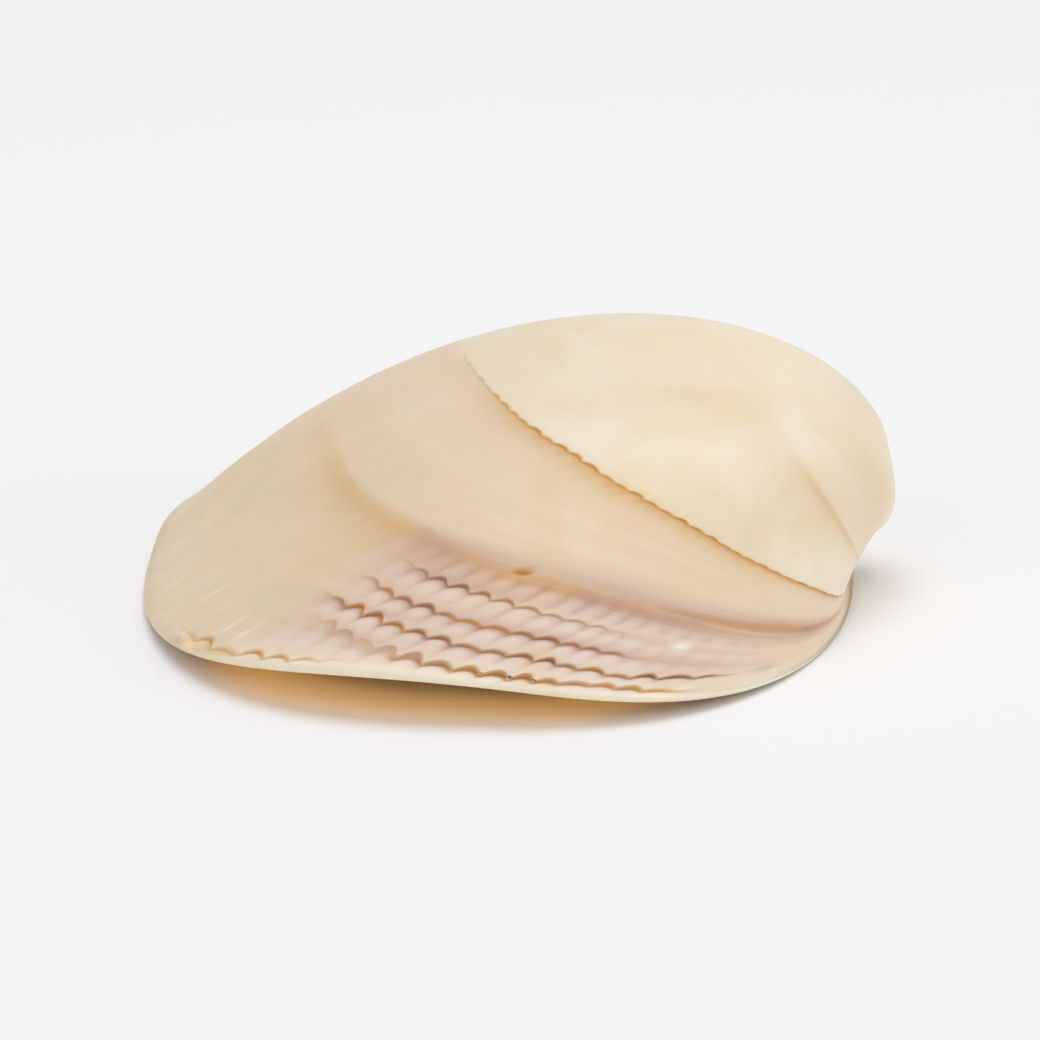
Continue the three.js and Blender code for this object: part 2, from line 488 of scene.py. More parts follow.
@dataclass
class Valve:
    """The whole half shell: outside, margin, hinge plate, teeth and hollow, in one mesh."""

    law: GrowthLaw
    ribs: Ribs
    columns: int = 480
    rear_closeness: float = 0.9
    margin_wall: float = 1.0 * MM
    full_wall: float = 1.8 * MM
    thickens_over: float = 0.12
    inside_bevel: float = 0.3 * MM
    lip_radius: float = 0.22 * MM
    cavity_turn: float = 1.4
    plate_width: float = 2.6 * MM
    plate_recess: float = 1.0 * MM
    plate_reach: float = 0.13
    tooth_length: float = 3.2 * MM
    tooth_thickness: float = 0.75 * MM
    tooth_height: float = 1.0 * MM
    tooth_fan: float = 0.5
    scar_depth: float = 0.12 * MM
    groove_depth: float = 0.075 * MM
    rib_depth: float = 0.008 * MM
    growth_line_depth: float = 0.012 * MM
    growth_lines: int = 260
    rim_step: float = 0.18 * MM
    plate_turn: float = 0.012
    tooth_inset: float = 2.9 * MM
    teeth_rearward: float = 2.6 * MM
    least_over_table: float = 0.15 * MM
    lip_rows: int = 6
    least_wall: float = 0.45 * MM
    clearance: float = 0.03 * MM
    merge_distance: float = 1e-7

    # -- rows ---------------------------------------------------------------------------------------

    def _outside_stations(self) -> np.ndarray:
        """Turns of the outside rows for a rib-free column, from the beak to just above the lip."""
        stretches = (
            (self.law.beak_turn, 1.9, 13),
            (1.9, 1.0, 20),
            (1.0, 0.34, 34),
            (0.34, 0.018, 50),
        )
        rows = [np.linspace(start, end, count, endpoint=False) for start, end, count in stretches]
        steps = np.array([0.003, 0.0006, -0.0010, -0.003, -0.006, -0.010])
        near_ledges = [pause.turn_at(np.array([0.25]))[0] + steps for pause in (*ROWS, MIDDLE_CHECK)]
        turns = np.concatenate([*rows, *near_ledges])
        return np.sort(turns)[::-1]

    def _turns(self, stations: np.ndarray, around: np.ndarray) -> np.ndarray:
        """Bends the rows to follow the ledges, notches included.

        Args:
            stations: The rows' turns at the rear.
            around: The columns' places.

        Returns:
            Rows by columns of turns.
        """
        level = np.array([pause.turn_at(np.array([0.25]))[0] for pause in PAUSES])
        ledges = np.stack([self._ledge_turns(index, around) for index in range(len(PAUSES))])
        known = np.concatenate([[0], level, [self.law.beak_turn]])
        turns = np.empty((len(stations), len(around)))
        for column in range(len(around)):
            actual = np.concatenate([[0], ledges[:, column], [self.law.beak_turn]])
            turns[:, column] = np.interp(stations, known, actual)
        return turns

    def _ledge_turns(self, index: int, around: np.ndarray) -> np.ndarray:
        """The turn of one ledge's edge at each column, notched by the ribs."""
        pause = PAUSES[index]
        arch = np.abs(np.sin(math.pi * self.ribs.number(around))) ** 0.9
        notch = arch * self._liveliness(index, around) - 0.5
        return pause.turn_at(around) + pause.notch * pause.strength(around) * notch

    def _liveliness(self, index: int, around: np.ndarray) -> np.ndarray:
        """How strongly each rib notches one ledge, from 0.45 to 1.25."""
        chance = np.random.default_rng(100 + index)
        each = 0.45 + 0.8 * chance.random(self.ribs.count + 2)
        return each[np.floor(self.ribs.number(around)).astype(int)]

    # -- relief -------------------------------------------------------------------------------------

    def _relief(self, around: np.ndarray, turns: np.ndarray) -> tuple[np.ndarray, np.ndarray]:
        """Works out how the outside is cut in, and where it is stained.

        Args:
            around: The columns' places.
            turns: Rows by columns of turns.

        Returns:
            The depth of every point, and the strength of its groove stain.
        """
        rib = self.ribs.number(around)
        arch = np.abs(np.sin(math.pi * rib)) ** 0.8
        depth = np.zeros_like(turns)
        stain = np.zeros_like(turns)
        for index, pause in enumerate(PAUSES):
            below = self._ledge_turns(index, around) - turns
            uneven = (1 - pause.evenness) * arch * self._liveliness(index, around)
            show = pause.strength(around) * (pause.evenness + uneven)
            cut = ease(below, 0, 0.0016) * np.exp(-np.maximum(0, below / pause.run_out) ** 1.3)
            depth = np.maximum(depth, pause.depth * show * cut)
            dark = hump(below, 0.0030, 0.5 * pause.run_out)
            stain = np.maximum(stain, pause.stain * show * dark)
            soft = ease(below, -0.4 * pause.bleed, 0.3 * pause.bleed)
            soft = soft * np.exp(-np.maximum(0, below) / pause.bleed)
            stain = np.maximum(stain, pause.bleed_stain * pause.strength(around) * soft)
        rows_zone = ease(turns, 0.250, 0.200) * ease(turns, 0.004, 0.016)
        rows_zone = rows_zone * ease(around, 0.22, 0.28) * ease(around, 0.40, 0.33)
        between = 1 - np.abs(np.sin(math.pi * rib))
        depth += self.groove_depth * rows_zone * between**2 * self._liveliness(len(PAUSES), around)
        rib_fade = 0.25 + 0.75 * ease(turns, 0.30, 0.05)
        depth += self.rib_depth * rib_fade * (0.5 + 0.5 * np.cos(2 * math.pi * rib)) * ease(turns, 1.6, 0.8)
        depth += self._growth_lines(turns)
        pit = PIT.strength(around, turns)
        depth += PIT_DEPTH * pit
        return depth, np.maximum(stain, PIT_STAIN * pit)

    def _growth_lines(self, turns: np.ndarray) -> np.ndarray:
        """Faint uneven lines round the whole valve, one for each slower spell of growth."""
        chance = np.random.default_rng(31)
        places = np.linspace(0, self.law.beak_turn, self.growth_lines)
        weight = chance.random(self.growth_lines) ** 2
        wave = np.interp(turns, places, weight)
        return self.growth_line_depth * wave * ease(turns, 2.2, 0.9)

    # -- inside -------------------------------------------------------------------------------------

    def _hinge_share(self, around: np.ndarray) -> np.ndarray:
        """1 beside the hinge, falling smoothly to 0 at the ends of the hinge plate."""
        away = np.minimum(around, 1 - around) / self.plate_reach
        return np.where(away < 1, np.cos(np.minimum(away, 1) * math.pi / 2) ** 2, 0)

    def _lip_rows(self, around: np.ndarray) -> list[np.ndarray]:
        """The rounded outer edge and the flat that the valve rests on.

        Args:
            around: The columns' places.

        Returns:
            The rows of places, from the outside inwards.
        """
        turn = np.zeros_like(around)
        rows = []
        for angle in np.linspace(0, math.pi / 2, self.lip_rows):
            inset = self.lip_radius * (1 - math.cos(angle))
            lift = self.lip_radius * (1 - math.sin(angle))
            rows.append(self.law.place(around, turn, inset, lift))
        for share in (0.45, 0.75, 1.0):
            rows.append(self.law.place(around, turn, self.margin_wall * share, 0))
        return rows

    def _bevel_rows(self, around: np.ndarray) -> list[np.ndarray]:
        """The inner edge of the flat, finely toothed by the ends of the ribs.

        Args:
            around: The columns' places.

        Returns:
            The rows of places, from the outside inwards.
        """
        turn = np.zeros_like(around)
        hinge = self._hinge_share(around)
        tooth = 0.5 + 0.5 * np.cos(4 * math.pi * self.ribs.number(around))
        rows = []
        for share in (0.25, 0.6, 1.0):
            inset = self.margin_wall + self.inside_bevel * (share + 0.5 * tooth * (1 - hinge) * share)
            lift = self.inside_bevel * share + self.plate_recess * hinge * share
            rows.append(self.law.place(around, turn, inset, lift))
        return rows

    def _inside_rows(self, around: np.ndarray) -> tuple[list[np.ndarray], list[float]]:
        """The hinge plate and the hollow.

        Args:
            around: The columns' places.

        Returns:
            The rows of places, and how deep into the hollow each row lies, 0 to 1.
        """
        hinge = self._hinge_share(around)
        tooth = 0.5 + 0.5 * np.cos(4 * math.pi * self.ribs.number(around))
        rows, deep = [], []
        start = self.margin_wall + self.inside_bevel
        for share in np.linspace(0.15, 1.0, 9):
            turn = np.full_like(around, self.plate_turn * share)
            inset = start + (self.rim_step + self.plate_width * hinge) * share
            inset = inset + 0.5 * self.inside_bevel * tooth * (1 - hinge) * (1 - share)
            lift = self.inside_bevel * (1 - share) + self.plate_recess * hinge
            rows.append(self.law.place(around, turn, inset, lift))
            deep.append(0.0)
        for share in np.linspace(0.03, 1.0, 34):
            turn = np.full_like(around, self.plate_turn + (self.cavity_turn - self.plate_turn) * share)
            thickening = 1 - math.exp(-float(turn[0]) / self.thickens_over)
            inset = start + self.rim_step + (self.full_wall - self.margin_wall) * thickening
            inset = inset + self.plate_width * hinge
            narrowing = math.sqrt(max(0.0, 1 - share**6))
            rows.append(self.law.place(around, turn, inset, self.plate_recess * hinge, narrowing))
            deep.append(float(share))
        return rows, deep

    def _raise_teeth(self, rows: np.ndarray) -> None:
        """Pulls three fanned ridges down out of the hinge plate.

        Args:
            rows: The inside rows of places, which are changed.
        """
        hinge = self.law.place(np.array([0.0]), np.array([0.0]), self.tooth_inset)[0]
        pull = np.zeros(rows.shape[:2])
        for index in (-1, 0, 1):
            fan = index * self.tooth_fan
            x = rows[..., 0] - hinge[0]
            y = rows[..., 1] - (hinge[1] - self.teeth_rearward + fan * self.tooth_length)
            along = x * math.cos(fan) + y * math.sin(fan)
            across = y * math.cos(fan) - x * math.sin(fan)
            thin = (1.6 * across / self.tooth_thickness) ** 2
            ridge = np.exp(-np.abs(2 * along / self.tooth_length) ** 4 - thin)
            pull = np.maximum(pull, ridge)
        floor = self.law.shift[2] + self.least_over_table
        reachable = np.maximum(0, rows[..., 2] - floor)
        rows[..., 2] -= np.minimum(self.tooth_height * pull, reachable)

    # -- the whole skin -----------------------------------------------------------------------------

    def skin(self) -> Skin:
        """Lays out every point of the valve.

        Returns:
            The skin. Its end rows close to a point, and its first and last columns follow one line.
        """
        around = self.ribs.columns(self.columns, self.rear_closeness)
        stations = self._outside_stations()
        turns = self._turns(stations, around)
        outside = self.law.place(around, turns, narrowing=self.law.narrowing(turns))
        depth, stain = self._relief(around, turns)
        outside -= self._outward(outside) * depth[..., None]
        edge = np.stack([*self._lip_rows(around), *self._bevel_rows(around)])
        inner, deep = self._inside_rows(around)
        inside = np.stack(inner)
        inner_turns = np.repeat(np.array(deep)[:, None] * self.cavity_turn, self.columns + 1, axis=1)
        inside[..., 2] += self.scar_depth * self._scars(around, inner_turns)
        self._keep_wall(inside, outside)
        self._raise_teeth(inside)
        points = np.concatenate([outside, edge, inside])
        points[-1] = points[-1].mean(axis=0)
        points[0] = points[0].mean(axis=0)
        rest_turns = np.zeros((len(edge), self.columns + 1))
        all_turns = np.concatenate([turns, rest_turns, inner_turns])
        is_inside = np.concatenate([np.zeros_like(turns), rest_turns, np.ones_like(inner_turns)])
        is_inside[len(turns) + self.lip_rows:len(turns) + len(edge)] = 0.5
        marks = self._marks(around, all_turns, is_inside)
        marks[Mark.GROOVE][:len(turns)] = np.clip(stain, 0, 1)
        return Skin(self._inside_box(points), marks, self._growth_places(around, all_turns))

    def _keep_wall(self, inside: np.ndarray, outside: np.ndarray) -> None:
        """Pushes the hollow back wherever it comes too near the outside, as it does under the beak.

        Args:
            inside: The rows of the hollow, which are changed.
            outside: The rows of the outside.
        """
        normals = self._outward(outside).reshape(-1, 3)
        places = outside.reshape(-1, 3)
        tree = KDTree(len(places))
        for index, place in enumerate(places):
            tree.insert(place, index)
        tree.balance()
        moved = 0
        for place in inside.reshape(-1, 3):
            _, index, _ = tree.find(place)
            depth = float(np.dot(places[index] - place, normals[index]))
            if depth < self.least_wall:
                place -= normals[index] * (self.least_wall - depth)
                moved += 1
        log.info("valve wall: %d places of the hollow pushed back", moved)

    def _outward(self, points: np.ndarray) -> np.ndarray:
        """Unit normals of a stretch of skin, pointing out of the shell.

        Args:
            points: Rows by columns of places.

        Returns:
            Rows by columns of unit vectors.
        """
        along_columns = np.gradient(points, axis=1)
        along_columns[:, 0] = along_columns[:, -1] = points[:, 1] - points[:, -2]
        along_rows = np.gradient(points, axis=0)
        normal = np.cross(along_rows, along_columns)
        length = np.linalg.norm(normal, axis=-1, keepdims=True)
        normal = normal / np.maximum(length, 1e-12)
        middle = len(points) // 2
        if normal[middle, :, 2].mean() < 0:
            normal = -normal
        return normal

    def _inside_box(self, points: np.ndarray) -> np.ndarray:
        """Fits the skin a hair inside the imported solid's box, resting on its floor.

        Args:
            points: Rows by columns of places.

        Returns:
            The same places, fitted.
        """
        low, high = (np.array(corner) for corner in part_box(VALVE_NODE))
        own_low, own_high = points.min(axis=(0, 1)), points.max(axis=(0, 1))
        gap = np.array([self.clearance, self.clearance, 0])
        room = high - low - gap * 2
        room[2] -= self.clearance
        return low + gap + (points - own_low) * (room / (own_high - own_low))

    def _growth_places(self, around: np.ndarray, turns: np.ndarray) -> np.ndarray:
        """Places on a cylinder: round it as round the margin, and up it as back in time.

        Args:
            around: The columns' places.
            turns: Rows by columns of turns.

        Returns:
            Rows by columns of places, in millimetres.
        """
        distance = np.interp(around, self.ribs.around, self.ribs.arc)
        angle = 2 * math.pi * distance / self.ribs.arc[-1]
        radius = self.ribs.arc[-1] / (2 * math.pi)
        x, y = radius * np.cos(angle), radius * np.sin(angle)
        return np.stack(np.broadcast_arrays(x, y, turns * self.law.reach), axis=-1) / MM

    def _marks(
        self, around: np.ndarray, turns: np.ndarray, inside: np.ndarray
    ) -> dict[Mark, np.ndarray]:
        """How strongly each colour of the finish shows at every point.

        Args:
            around: The columns' places.
            turns: Rows by columns of turns.
            inside: Rows by columns, 0 outside and 1 in the hollow.

        Returns:
            Rows by columns for each mark.
        """
        outside = 1 - np.clip(inside, 0, 1)
        rear = ease(around, 0.13, 0.22) * ease(around, 0.40, 0.33)
        late = ease(turns, 0.34, 0.22)
        # Painted shade: the mauve mask is strongest just under each row's ledge and over the lower part of
        # the long rear side. This is laid on top of the shell's own mauve band along the late check.
        ledge_shade = np.zeros_like(turns)
        for index in (PAUSES.index(pause) for pause in ROWS):
            below = self._ledge_turns(index, around) - turns
            ledge_shade = np.maximum(ledge_shade, PAUSES[index].strength(around) * hump(below, 0.006, 0.014))
        mauve_and_shade = rear * ease(turns, 0.015, 0.06) * late * (0.50 + 0.50 * ledge_shade)
        along_check = hump(turns - LATE_CHECK.turn_at(around), -0.02, 0.11)
        along_check = along_check * ease(around, 0.05, 0.14) * ease(around, 0.42, 0.32)
        mauve_and_shade = np.maximum(mauve_and_shade, 0.8 * along_check)
        bead = self._beads(around, turns) * rear
        younger = ease(turns - MIDDLE_CHECK.turn_at(around), 0.01, -0.03)
        peach = younger * ease(turns, 0.02, 0.12)
        umbo = 0.5 * ease(turns - EARLY_CHECK.turn_at(around), -0.02, 0.10)
        worn_end = ease(around, 0.30, 0.40) * ease(around, 0.62, 0.50) * ease(turns, 0.50, 0.20)
        pale = ease(turns, 0.034, 0.018) * ease(around, 0.15, 0.19) * ease(around, 0.39, 0.33)
        scratches = np.zeros_like(turns)
        for scratch in SCRATCHES:
            scratches = np.maximum(scratches, scratch.strength(around, turns))
        chalk = SCRATCH_STRENGTH * scratches + GLINT.strength(around, turns)
        grey = GREY_END.strength(around, turns)
        grey = np.maximum(grey, GREY_PATCH_STRENGTH * GREY_PATCH.strength(around, turns))
        return {
            Mark.GROOVE: np.zeros_like(turns),
            Mark.MAUVE_AND_SHADE: mauve_and_shade * outside,
            Mark.BEAD: bead * outside,
            Mark.PEACH: peach * outside,
            Mark.TAN: worn_end * outside,
            Mark.PALE: np.clip(pale + umbo, 0, 1) * outside,
            Mark.CHALK: np.clip(chalk, 0, 1) * outside,
            Mark.GREY: grey * outside,
            Mark.INSIDE: np.clip(inside, 0, 1),
            Mark.DEEP: np.clip(inside, 0, 1) * ease(turns, 0.05, 0.9),
            Mark.SCAR: np.clip(inside, 0, 1) * self._scars(around, turns),
        }

    def _scars(self, around: np.ndarray, turns: np.ndarray) -> np.ndarray:
        """Where the two closing muscles and the mantle were fixed to the inside, 0 to 1.

        Args:
            around: The columns' places.
            turns: Rows by columns of turns.

        Returns:
            Rows by columns of how clearly a scar shows.
        """
        line = 0.24 + 0.16 * hump(around, 0.33, 0.05)
        scars = 0.7 * hump(turns, line, 0.022) * ease(around, 0.17, 0.21) * ease(around, 0.85, 0.80)
        for place, turn, width, height in ((0.215, 0.42, 0.028, 0.13), (0.790, 0.40, 0.030, 0.12)):
            reach = ((around - place) / width) ** 2 + ((turns - turn) / height) ** 2
            scars = np.maximum(scars, ease(reach, 1.25, 0.75))
        return scars

    def _beads(self, around: np.ndarray, turns: np.ndarray) -> np.ndarray:
        """The pale swellings of the ribs between one ledge and the next, 0 to 1.

        Args:
            around: The columns' places.
            turns: Rows by columns of turns.

        Returns:
            Rows by columns of the swelling at each point.
        """
        crest = np.abs(np.sin(math.pi * self.ribs.number(around)))
        ledges = (self._ledge_turns(PAUSES.index(row), around) for row in ROWS)
        levels = [np.full_like(around, 0.012), *ledges]
        levels.append(levels[-1] + 0.045)
        bead = np.zeros_like(turns)
        for lower, upper in zip(levels, levels[1:]):
            share = np.clip((turns - lower) / (upper - lower), 0, 1)
            bead = np.maximum(bead, np.sin(math.pi * share) ** 1.2)
        return bead * (0.25 + 0.75 * crest)

    def build(self) -> bpy.types.Object:
        """Makes the valve's mesh and puts it in the scene.

        Returns:
            The valve, at the origin, with its place in its mesh.
        """
        skin = self.skin()
        rows = len(skin.points)
        mesh = bpy.data.meshes.new("cockle_valve")
        shape = bmesh.new()
        bmesh.ops.create_grid(shape, x_segments=self.columns, y_segments=rows - 1, size=1.0)
        layers = {mark: shape.verts.layers.float.new(mark.value) for mark in Mark}
        growth = shape.verts.layers.float_vector.new("growth")
        for vertex in shape.verts:
            column = round((vertex.co.x + 1) / 2 * self.columns)
            row = round((vertex.co.y + 1) / 2 * (rows - 1))
            vertex.co = skin.points[row, column]
            vertex[growth] = skin.growth[row, column]
            for mark, layer in layers.items():
                vertex[layer] = float(skin.marks[mark][row, column])
        bmesh.ops.remove_doubles(shape, verts=shape.verts, dist=self.merge_distance)
        bmesh.ops.dissolve_degenerate(shape, edges=shape.edges, dist=self.merge_distance / 10)
        bmesh.ops.recalc_face_normals(shape, faces=shape.faces)
        for face in shape.faces:
            face.smooth = True
        loose = [edge for edge in shape.edges if len(edge.link_faces) != 2]
        log.info("valve skin: %d rows, %d points, %d faces", rows, len(shape.verts), len(shape.faces))
        log.info("valve skin: %d edges without exactly two faces", len(loose))
        shape.to_mesh(mesh)
        shape.free()
        valve = bpy.data.objects.new("cockle_valve", mesh)
        bpy.context.scene.collection.objects.link(valve)
        return valve


# ---- finishes -------------------------------------------------------------------------------------


class Bench:
    """Makes one material's nodes and wires them together."""

    def __init__(self, name: str) -> None:
        """Starts an empty material.

        Args:
            name: The material's name.
        """
        self.material = bpy.data.materials.new(name)
        self.material.use_nodes = True
        self.tree = self.material.node_tree
        self.tree.nodes.clear()

    def node(self, kind: str, **values: object) -> bpy.types.Node:
        """Adds a node.

        Args:
            kind: The node's type.
            **values: Its settings, by attribute name.

        Returns:
            The node.
        """
        made = self.tree.nodes.new(kind)
        for name, value in values.items():
            setattr(made, name, value)
        return made

    def feed(self, socket: bpy.types.NodeSocket, value: object) -> None:
        """Wires a socket to another, or sets its plain value."""
        if isinstance(value, bpy.types.NodeSocket):
            self.tree.links.new(value, socket)
        else:
            socket.default_value = value

    def mark(self, mark: Mark) -> bpy.types.NodeSocket:
        """The strength of one of the mesh's marks."""
        return self.node("ShaderNodeAttribute", attribute_name=mark.value).outputs["Fac"]

    def stretched(
        self, source: bpy.types.NodeSocket, scale: tuple[float, float, float]
    ) -> bpy.types.NodeSocket:
        """Coordinates scaled along each axis."""
        mapping = self.node("ShaderNodeMapping")
        self.feed(mapping.inputs["Vector"], source)
        mapping.inputs["Scale"].default_value = scale
        return mapping.outputs["Vector"]

    def noise(
        self, where: bpy.types.NodeSocket, scale: float, detail: float = 3.0, warp: float = 0.0
    ) -> bpy.types.NodeSocket:
        """Cloudy noise, 0 to 1.

        Args:
            where: The coordinates that it follows.
            scale: How fine it is.
            detail: How many finer layers it has.
            warp: How far it is pulled out of shape.

        Returns:
            The noise.
        """
        made = self.node("ShaderNodeTexNoise")
        self.feed(made.inputs["Vector"], where)
        made.inputs["Scale"].default_value = scale
        made.inputs["Detail"].default_value = detail
        made.inputs["Distortion"].default_value = warp
        return made.outputs["Fac"]

    def remap(
        self, value: bpy.types.NodeSocket, start: float, end: float, low: float = 0.0, high: float = 1.0
    ) -> bpy.types.NodeSocket:
        """Turns the range `start` to `end` smoothly into `low` to `high`.

        Args:
            value: What is remapped.
            start: The value that gives `low`.
            end: The value that gives `high`.
            low: The least result.
            high: The greatest result.

        Returns:
            The remapped value.
        """
        made = self.node("ShaderNodeMapRange", interpolation_type="SMOOTHSTEP")
        self.feed(made.inputs["Value"], value)
        for name, number in (("From Min", start), ("From Max", end), ("To Min", low), ("To Max", high)):
            made.inputs[name].default_value = number
        return made.outputs["Result"]

    def sum_of(self, kind: str, first: object, second: object) -> bpy.types.NodeSocket:
        """One step of arithmetic, such as "MULTIPLY" or "ADD"."""
        made = self.node("ShaderNodeMath", operation=kind)
        self.feed(made.inputs[0], first)
        self.feed(made.inputs[1], second)
        return made.outputs[0]

    def times(self, first: object, second: object) -> bpy.types.NodeSocket:
        """The product of two values."""
        return self.sum_of("MULTIPLY", first, second)

    def blend(self, share: object, under: object, over: object) -> bpy.types.NodeSocket:
        """Mixes two colours.

        Args:
            share: How much of the second shows.
            under: The first colour.
            over: The second colour.

        Returns:
            The mixed colour.
        """
        made = self.node("ShaderNodeMix", data_type="RGBA", clamp_factor=True)
        self.feed(made.inputs[0], share)
        self.feed(made.inputs[6], under)
        self.feed(made.inputs[7], over)
        return made.outputs[2]

    def bump(
        self,
        height: bpy.types.NodeSocket,
        distance: float,
        strength: float,
        under: bpy.types.NodeSocket | None = None,
    ) -> bpy.types.NodeSocket:
        """Fine relief.

        Args:
            height: The relief, 0 to 1.
            distance: Metres from its lowest to its highest.
            strength: How much of it shows.
            under: Relief that it is laid over.

        Returns:
            The bumped normal.
        """
        made = self.node("ShaderNodeBump")
        self.feed(made.inputs["Height"], height)
        made.inputs["Distance"].default_value = distance
        made.inputs["Strength"].default_value = strength
        if under is not None:
            self.feed(made.inputs["Normal"], under)
        return made.outputs["Normal"]

    def finish(self, shader: bpy.types.Node) -> bpy.types.Material:
        """Wires the shader to the material's output."""
        output = self.node("ShaderNodeOutputMaterial")
        self.tree.links.new(shader.outputs[0], output.inputs["Surface"])
        return self.material


@dataclass(frozen=True)
class ShellFinish:
    """Worn shell: cream and peach outside, purplish-pink rows partly darkened with painted shade, ochre
    grooves and a warm hollow.
    """

    cream: Colour = colour(236, 220, 191)
    ivory: Colour = colour(240, 229, 208)
    peach: Colour = colour(232, 207, 178)
    blush: Colour = colour(230, 212, 198)
    tan: Colour = colour(230, 205, 170)
    # Purplish-pink of the rows, used partly as the shell's own tint and partly as painted shade.
    mauve_and_shade: Colour = colour(188, 144, 135)
    bead: Colour = colour(232, 213, 206)
    ochre: Colour = colour(206, 152, 70)
    russet: Colour = colour(172, 116, 96)
    honey: Colour = colour(222, 190, 132)
    ash: Colour = colour(214, 202, 168)
    chalk: Colour = colour(243, 236, 222)
    grey: Colour = colour(176, 176, 160)
    inside_pale: Colour = colour(232, 200, 150)
    inside_deep: Colour = colour(206, 142, 66)
    scar: Colour = colour(242, 222, 184)
    glow_radius: tuple[float, float, float] = (1.0, 0.62, 0.38)
    glow_depth: float = 0.55 * MM
    glow_share: float = 0.6
    bending: float = 1.45
    shine: float = 0.35

    def material(self) -> bpy.types.Material:
        """Builds the finish.

        Returns:
            The material.
        """
        bench = Bench("worn_shell")
        place = bench.node("ShaderNodeTexCoord").outputs["Object"]
        growth = bench.node("ShaderNodeAttribute", attribute_name="growth").outputs["Vector"]
        tint = self._tint(bench, place, growth)
        shader = bench.node("ShaderNodeBsdfPrincipled")
        bench.feed(shader.inputs["Base Color"], tint)
        bench.feed(shader.inputs["Roughness"], self._roughness(bench, place))
        bench.feed(shader.inputs["Normal"], self._relief(bench, place, growth))
        shader.inputs["IOR"].default_value = self.bending
        shader.inputs["Specular IOR Level"].default_value = self.shine
        shader.inputs["Subsurface Weight"].default_value = self.glow_share
        shader.inputs["Subsurface Radius"].default_value = self.glow_radius
        shader.inputs["Subsurface Scale"].default_value = self.glow_depth
        return bench.finish(shader)

    def _tint(
        self, bench: Bench, place: bpy.types.NodeSocket, growth: bpy.types.NodeSocket
    ) -> bpy.types.NodeSocket:
        """The shell's colour, from its oldest layer to the marks laid over it.

        Args:
            bench: Where the nodes are made.
            place: Coordinates in space.
            growth: Coordinates that follow the growth lines.

        Returns:
            The colour.
        """
        clouds = bench.noise(place, 170, 3, 0.4)
        bands = bench.noise(bench.stretched(growth, (0.03, 0.03, 1.1)), 1.0, 3)
        streaks = bench.noise(bench.stretched(growth, (0.9, 0.9, 0.07)), 1.0, 3)
        tint = bench.blend(bench.remap(clouds, 0.35, 0.65), self.cream, self.ivory)
        peach = bench.times(bench.mark(Mark.PEACH), bench.remap(bands, 0.25, 0.65, 0.62, 0.88))
        tint = bench.blend(peach, tint, self.peach)
        blushed = bench.times(bench.mark(Mark.PEACH), bench.remap(clouds, 0.55, 0.75, 0, 0.25))
        tint = bench.blend(blushed, tint, self.blush)
        tanned = bench.times(bench.mark(Mark.TAN), bench.remap(streaks, 0.3, 0.7, 0.55, 0.85))
        tint = bench.blend(tanned, tint, self.tan)
        # Mauve tint, which also carries painted shade under the ledges and low on the rear side.
        mauve_and_shade = bench.times(bench.mark(Mark.MAUVE_AND_SHADE), bench.remap(bands, 0.3, 0.6, 0.35, 0.95))
        tint = bench.blend(mauve_and_shade, tint, self.mauve_and_shade)
        beads = bench.times(bench.mark(Mark.BEAD), bench.remap(clouds, 0.35, 0.65, 0.4, 0.80))
        tint = bench.blend(beads, tint, self.bead)
        tint = bench.blend(bench.times(bench.mark(Mark.PALE), 0.75), tint, self.ivory)
        blotches = bench.noise(place, 95, 4, 0.6)
        tint = bench.blend(bench.remap(blotches, 0.50, 0.72, 0.0, 0.38), tint, self.honey)
        flecks = bench.remap(bench.noise(place, 240, 4), 0.48, 0.68, 0.0, 0.40)
        tint = bench.blend(bench.times(bench.mark(Mark.TAN), flecks), tint, self.ash)
        reds = bench.remap(bench.noise(place, 330, 2), 0.42, 0.60)
        redder = bench.times(bench.mark(Mark.MAUVE_AND_SHADE), reds)
        groove_colour = bench.blend(redder, self.ochre, self.russet)
        tint = bench.blend(bench.remap(bench.mark(Mark.GROOVE), 0.0, 0.95), tint, groove_colour)
        tint = bench.blend(bench.mark(Mark.GREY), tint, self.grey)
        tint = bench.blend(bench.mark(Mark.CHALK), tint, self.chalk)
        deeper = bench.remap(bench.mark(Mark.DEEP), 0.0, 0.9)
        hollow = bench.blend(deeper, self.inside_pale, self.inside_deep)
        hollow = bench.blend(bench.times(bench.mark(Mark.SCAR), 0.6), hollow, self.scar)
        return bench.blend(bench.mark(Mark.INSIDE), tint, hollow)

    def _roughness(self, bench: Bench, place: bpy.types.NodeSocket) -> bpy.types.NodeSocket:
        """A satin outside, duller in the grooves."""
        worn = bench.remap(bench.noise(place, 420, 4), 0.3, 0.7, 0.40, 0.56)
        return bench.sum_of("ADD", worn, bench.times(bench.mark(Mark.GROOVE), 0.2))

    def _relief(
        self, bench: Bench, place: bpy.types.NodeSocket, growth: bpy.types.NodeSocket
    ) -> bpy.types.NodeSocket:
        """Fine growth lines, faint ribs and the grain of worn shell.

        Args:
            bench: Where the nodes are made.
            place: Coordinates in space.
            growth: Coordinates that follow the growth lines.

        Returns:
            The bumped normal.
        """
        lines = bench.noise(bench.stretched(growth, (0.05, 0.05, 5.0)), 1.0, 4)
        striae = bench.noise(bench.stretched(growth, (2.2, 2.2, 0.10)), 1.0, 3)
        grain = bench.noise(place, 2600, 4)
        normal = bench.bump(lines, 0.05 * MM, 0.25)
        normal = bench.bump(striae, 0.03 * MM, 0.18, normal)
        return bench.bump(grain, 0.012 * MM, 0.4, normal)


